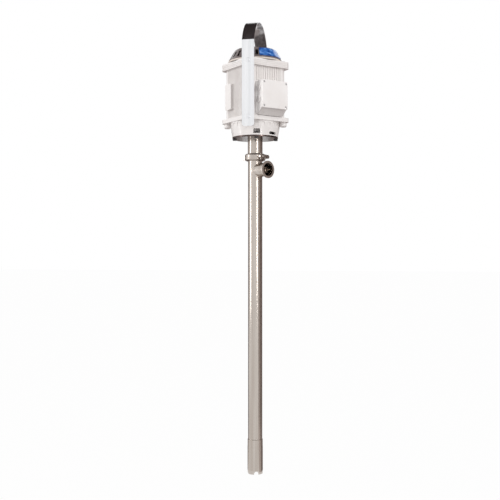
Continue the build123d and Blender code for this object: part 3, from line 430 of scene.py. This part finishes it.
def socket_head(maker, radius, height, origin, axis):
    """Turned head, softened at the rim, with a round recess for the key."""
    rim = radius * 0.16
    socket = radius * 0.56
    section = [(0.0, height - socket * 0.8), (socket, height - socket * 0.8), (socket, height - rim * 0.3),
               (socket + rim * 0.3, height), (radius - rim, height), (radius - rim * 0.3, height - rim * 0.3),
               (radius, height - rim), (radius, 0.0), (0.0, 0.0)]
    spin_into(maker, section, origin, axis, steps=32)


# %% [markdown]
# The lid is held by four socket screws at its corners, and the strap by two bolts a leg, each on
# a wide washer. They replace the plain heads of the frame, at the same places.

# %% Lid screws and strap bolts
screws = bmesh.new()
lid_middle = middle("lid_screws")
across_box = Z.cross(BOX)
screw_span = high("lid_screws") - low("lid_screws")
SCREW_R = 0.004
side_step = screw_span.x / 2 / sqrt(0.5) - SCREW_R
rise_step = screw_span.z / 2 - SCREW_R
for side in (-1, 1):
    for rise in (-1, 1):
        place = lid_middle + across_box * side * side_step * 0.985 + Z * rise * rise_step
        socket_head(screws, SCREW_R * 0.96, 0.0026, place - BOX * 0.0013, BOX)
lid_screws = keep(screws, "lid_socket_screws", zinc)
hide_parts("lid_screws")

WASHER_SECTION = [(0.004, 0.0), (0.0085, 0.0), (0.0088, 0.0004), (0.0085, 0.0012), (0.004, 0.0012)]
strap_bolts = bmesh.new()
strap_out = high("handle_strap").y
STRAP_HEAD_R = 0.0075
bolt_low = low("handle_bolts").z + STRAP_HEAD_R
bolt_high = high("handle_bolts").z - STRAP_HEAD_R
for sign in (-1, 1):
    outward = Vector((0, sign, 0))
    for height in (bolt_low, bolt_high):
        seat = outward * strap_out + Z * height
        spin_into(strap_bolts, WASHER_SECTION, seat, outward, closed=True)
        socket_head(strap_bolts, 0.0065, 0.0038, seat + outward * 0.0012, outward)
        spin_into(strap_bolts, [(0.0, 0.0012), (0.004, 0.0012), (0.004, -0.0045), (0.0, -0.0045)],
                  seat, outward, steps=20)
bolts_piece = keep(strap_bolts, "strap_bolts_and_washers", strap_steel)
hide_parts("handle_bolts")

# %% [markdown]
# ## The wing nut
# A cast wing nut is a tapered hub with two ears that stand up and out. The hub is turned. Each
# ear starts as a flat disc, is stretched into an oval, thickened, and rounded by a bevel.

# %% Wing nut
clamp_side = Z.cross(CLAMP)
HUB_BACK = 0.0093
nut_axis = -clamp_side
nut_base = middle("wing_nut") + clamp_side * HUB_BACK
HUB = 0.0130
EAR_R = 0.0050
EAR_T = 0.0032
EAR_OUT = 0.0080
nut = bmesh.new()
spin_into(nut, [(0.00412, 0.0), (0.0075, 0.0), (0.0074, 0.004), (0.0062, 0.0118), (0.0054, HUB),
                (0.00412, HUB)], nut_base, nut_axis, steps=40, closed=True)
for sign in (-1, 1):
    ear = bmesh.new()
    bmesh.ops.create_circle(ear, cap_ends=True, segments=20, radius=EAR_R)
    bmesh.ops.scale(ear, vec=(1.0, 1.3, 1.0), verts=ear.verts)
    raised = bmesh.ops.extrude_face_region(ear, geom=list(ear.faces))
    tips = [item for item in raised["geom"] if isinstance(item, bmesh.types.BMVert)]
    bmesh.ops.translate(ear, verts=tips, vec=(0, 0, EAR_T))
    bmesh.ops.translate(ear, verts=ear.verts, vec=(0, 0, -EAR_T / 2))
    bmesh.ops.bevel(ear, geom=level_edges(ear), offset=0.0011, segments=3, affect="EDGES",
                    profile=0.5, material=-1)
    bmesh.ops.recalc_face_normals(ear, faces=ear.faces)
    lean = Matrix.Rotation(radians(-22), 4, "Z")
    spot = Matrix.Translation(nut_base + nut_axis * (HUB + 0.0002) + Z * sign * EAR_OUT)
    up = Matrix((Z * sign, nut_axis, (Z * sign).cross(nut_axis))).transposed().to_4x4()
    pour(nut, ear, spot @ up @ lean)
nut_piece = keep(nut, "cast_wing_nut", cast_steel, body="wing_nut_body", smooth=50)
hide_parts("wing_nut")

# %% [markdown]
# ## Motor trim
# Four socket screws pull the end shields onto the frame at its corners. The cowl has a thin
# black bead round its flat top and a pale lip where it sits on the shield.

# %% Motor trim
shield_top = high("non_drive_end_shield").z
cowl_top = high("fan_cowl").z
cowl_r = high("fan_cowl").x
TIE_INSET = 0.0190
corner_reach = high("non_drive_end_shield").x - TIE_INSET
tie_screws = bmesh.new()
for bearing in (0, 90, 180, 270):
    socket_head(tie_screws, 0.0062, 0.0055, facing(bearing) * corner_reach + Z * shield_top, Z)
    spin_into(tie_screws, [(0.004, 0.0), (0.0078, 0.0), (0.0078, 0.0009), (0.004, 0.0009)],
              facing(bearing) * corner_reach + Z * shield_top, closed=True)
keep(tie_screws, "corner_tie_screws", zinc)

pale_lip = finish("pale_cowl_lip", (0.74, 0.66, 0.59), 0.4)
tint(pale_lip, grain(pale_lip, 60), [(0.3, (0.68, 0.60, 0.53)), (0.7, (0.80, 0.73, 0.67))])
lip = bmesh.new()
spin_into(lip, half_round(cowl_r - 0.0002, 0.0022), (0, 0, shield_top + 0.0032), steps=96)
keep(lip, "cowl_lip", pale_lip)

TOP_BEAD_R = 0.0735
TOP_BEAD = 0.0021
top_bead = bmesh.new()
spin_into(top_bead, [(TOP_BEAD_R + TOP_BEAD * cos(2 * pi * k / 12), TOP_BEAD * sin(2 * pi * k / 12))
                     for k in range(12)],
          (0, 0, cowl_top - 0.0024), steps=96, closed=True)
keep(top_bead, "cowl_top_bead", black_oxide)

# %% [markdown]
# Two blanked entries face the strap, and the open one on the far side has a locknut. A plug's
# head is turned with a dished face, and a small hexagon stands in the dish for a key.

# %% Cable entry trim
ENTRY_OUT = 0.105
BOX_HALF = 0.0545
PLUG_R = 0.013
near_face = BOX * ENTRY_OUT - across_box * BOX_HALF
plug_low = low("blanking_plugs").z + PLUG_R
plug_high = high("blanking_plugs").z - PLUG_R
PLUG_SECTION = [(0.0, 0.0028), (0.0085, 0.0028), (0.0092, 0.0040), (0.0120, 0.0040), (0.0128, 0.0032),
                (0.0129, 0.0), (0.0099, 0.0), (0.0099, -0.0078), (0.0, -0.0078)]
plugs = bmesh.new()
for height in (plug_low, plug_high):
    spin_into(plugs, PLUG_SECTION, near_face + Z * height, -across_box)
    hex_prism(plugs, 0.0052, 0.0026, 0.0013, near_face + Z * height, -across_box)
plugs_piece = keep(plugs, "keyed_blanking_plugs", pale_plastic)
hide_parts("blanking_plugs")

locknut = bmesh.new()
far_face = BOX * ENTRY_OUT + across_box * BOX_HALF + Z * (plug_low + plug_high) / 2
spin_into(locknut, [(0.0102, 0.0), (0.0138, 0.0), (0.0138, 0.0026), (0.0130, 0.0034), (0.0102, 0.0034)],
          far_face, across_box, closed=True)
keep(locknut, "entry_ring_nut", zinc)

# %% [markdown]
# Under the bell, each bolt has a hexagonal head, and its nut shows in a pocket of the casting.
# The hexagons get a soft edge from a bevel, which the plain ones lack.

# %% Flange bolts and nuts
flange_low = low("lantern_flange").z
nut_low = low("flange_nuts").z
BOLT_RING = 0.077
BOLT_TURN = 15
HEX_R = 0.0074
HEX_T = 0.0058
heads = bmesh.new()
for quarter in range(4):
    spot = facing(BOLT_TURN + 90 * quarter) * BOLT_RING
    hex_prism(heads, HEX_R, -HEX_T, HEX_T, spot + Z * flange_low, Z)
    hex_prism(heads, HEX_R, 0.0001, HEX_T, spot + Z * nut_low, Z)
    spin_into(heads, [(0.0, 0.0), (0.004, 0.0), (0.004, 0.0205), (0.0034, 0.0211), (0.0, 0.0211)],
              spot + Z * (flange_low - 0.0002), steps=20)
heads_piece = keep(heads, "flange_bolts_and_nuts", black_oxide, smooth=25)
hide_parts("flange_bolts", "flange_nuts")

# %% [markdown]
# ## Studio
# The camera stands level at the pump's mid-height, a little round from the front. A long lens
# keeps the tube straight. The view is shifted sideways a touch so the tube is off-centre.

# %% Camera
DISTANCE = 3.1
CAMERA_TURN = 11.5
CAMERA_HEIGHT = 0.831
VIEW_WIDTH = 1.865
VIEW_SHIFT = -0.0104
lens = bpy.data.cameras.new("studio_camera")
lens.sensor_width = 36.0
lens.lens = lens.sensor_width * DISTANCE / VIEW_WIDTH
lens.shift_x = VIEW_SHIFT
camera = bpy.data.objects.new("studio_camera", lens)
bpy.context.scene.collection.objects.link(camera)
camera.location = facing(CAMERA_TURN) * DISTANCE + Z * CAMERA_HEIGHT
camera.rotation_euler = (pi / 2, 0, radians(CAMERA_TURN))
bpy.context.scene.camera = camera
print("lens", round(lens.lens, 1), "mm")

# %% [markdown]
# The floor is pale and wide. Rays from the camera and from mirrors see it nearly white, so the
# pump stands in a clean page and the pipe reflects one. Light that bounces off it is dimmer,
# which leaves undersides a little darker. The world behind is split in the same way.

# %% Floor and world
def seen_by(tree, *kinds):
    """One where a ray is any of these kinds, and zero elsewhere."""
    path = tree.nodes.new("ShaderNodeLightPath")
    either = path.outputs[kinds[0]]
    for kind in kinds[1:]:
        larger = tree.nodes.new("ShaderNodeMath")
        larger.operation = "MAXIMUM"
        tree.links.new(either, larger.inputs[0])
        tree.links.new(path.outputs[kind], larger.inputs[1])
        either = larger.outputs["Value"]
    return either


FLOOR_GAP = 0.0005
floor_mesh = bmesh.new()
bmesh.ops.create_grid(floor_mesh, x_segments=1, y_segments=1, size=30.0)
floor_data = bpy.data.meshes.new("floor")
floor_mesh.to_mesh(floor_data)
floor_mesh.free()
floor = bpy.data.objects.new("floor", floor_data)
bpy.context.scene.collection.objects.link(floor)
floor.location = (0, 0, low("suction_foot").z - FLOOR_GAP)
paper = bpy.data.materials.new("white_paper")
paper.use_nodes = True
nodes, links = paper.node_tree.nodes, paper.node_tree.links
shader = nodes["Principled BSDF"]
shader.inputs["Base Color"].default_value = (0.42, 0.39, 0.38, 1)
shader.inputs["Roughness"].default_value = 0.9
glow = nodes.new("ShaderNodeEmission")
glow.inputs["Color"].default_value = (1, 1, 1, 1)
share = nodes.new("ShaderNodeMath")
share.operation = "MULTIPLY"
share.inputs[1].default_value = 0.98
mix = nodes.new("ShaderNodeMixShader")
links.new(seen_by(paper.node_tree, "Is Camera Ray", "Is Glossy Ray"), share.inputs[0])
links.new(share.outputs["Value"], mix.inputs["Fac"])
links.new(shader.outputs["BSDF"], mix.inputs[1])
links.new(glow.outputs["Emission"], mix.inputs[2])
links.new(mix.outputs["Shader"], nodes["Material Output"].inputs["Surface"])
floor_data.materials.append(paper)

world = bpy.data.worlds.new("studio_world")
world.use_nodes = True
bpy.context.scene.world = world
nodes, links = world.node_tree.nodes, world.node_tree.links
ambient = nodes["Background"]
ambient.inputs["Color"].default_value = (0.97, 0.96, 0.96, 1)
ambient.inputs["Strength"].default_value = 0.6
page = nodes.new("ShaderNodeBackground")
page.inputs["Color"].default_value = (1, 1, 1, 1)
page.inputs["Strength"].default_value = 1.0
mix = nodes.new("ShaderNodeMixShader")
links.new(seen_by(world.node_tree, "Is Camera Ray", "Is Glossy Ray", "Is Transmission Ray"), mix.inputs["Fac"])
links.new(ambient.outputs["Background"], mix.inputs[1])
links.new(page.outputs["Background"], mix.inputs[2])
links.new(mix.outputs["Shader"], nodes["World Output"].inputs["Surface"])

# %% [markdown]
# Polished pipe shows only what stands round it. Cards beside bright metal draw its edges, so a
# grey and a dark card stand on the right and another dark one behind on the left. A black one
# hangs overhead for the top of the strap. Mirrors see them, but the camera doesn't, and they
# cast no shadow. Two slim lamps draw the white lines down the tube, and two wide ones fill.

# %% Flags and lamps
def unseen_stage(made, name, cloth):
    """Adds a card that only mirrors can see."""
    mesh = bpy.data.meshes.new(name)
    made.to_mesh(mesh)
    made.free()
    mesh.materials.append(cloth)
    flag = bpy.data.objects.new(name, mesh)
    bpy.context.scene.collection.objects.link(flag)
    flag.visible_camera = False
    flag.visible_diffuse = False
    flag.visible_shadow = False


def card(name, start, end, points, cloth):
    """Card swept between two bearings from the camera; points are (distance, height) pairs."""
    made = bmesh.new()
    reach = facing(CAMERA_TURN + start)
    ring = [made.verts.new(reach * distance + Z * height) for distance, height in points]
    edges = [made.edges.new(pair) for pair in zip(ring, ring[1:])]
    bmesh.ops.spin(made, geom=ring + edges, cent=(0, 0, 0), axis=(0, 0, 1), angle=radians(end - start),
                   steps=12)
    unseen_stage(made, name, cloth)


dark_cloth = finish("dark_flag_cloth", (0.30, 0.25, 0.235), 0.9)
grey_cloth = finish("grey_flag_cloth", (0.62, 0.56, 0.53), 0.9)
black_cloth = finish("black_flag_cloth", (0.03, 0.02, 0.02), 0.9)
FLAG_FOOT = low("suction_foot").z + FLOOR_GAP
wall = [(0.05, FLAG_FOOT), (0.9, FLAG_FOOT), (0.9, 1.9)]
card("grey_flag_right", 52, 88, wall, grey_cloth)
card("dark_flag_right", 88, 176, wall, dark_cloth)
card("dark_flag_left", -176, -124, wall, dark_cloth)
card("roof_flag", -180, 180, [(0.0, 2.9), (1.6, 2.9)], black_cloth)


def softbox(name, bearing, height, distance, width, tall, power, aim, mirrored=False):
    """Lamp at a bearing from the camera that points at the pump's axis at the height aim."""
    data = bpy.data.lights.new(name, "AREA")
    data.shape = "RECTANGLE"
    data.size = width
    data.size_y = tall
    data.energy = power
    lamp = bpy.data.objects.new(name, data)
    bpy.context.scene.collection.objects.link(lamp)
    lamp.location = facing(CAMERA_TURN + bearing) * distance + Z * height
    lamp.rotation_euler = (lamp.location - Vector((0, 0, aim))).to_track_quat("Z", "Y").to_euler()
    lamp.visible_glossy = mirrored


softbox("key_right", 44, 2.7, 2.4, 1.2, 1.2, 30, aim=1.4)
softbox("fill_left", -62, 2.4, 2.5, 1.4, 1.4, 34, aim=1.3)
softbox("line_right", 31, 1.25, 2.4, 0.20, 1.3, 9, aim=1.25, mirrored=True)
softbox("line_left", -78, 1.15, 2.4, 0.34, 1.4, 8, aim=1.15, mirrored=True)
bpy.context.scene.view_settings.view_transform = "Standard"
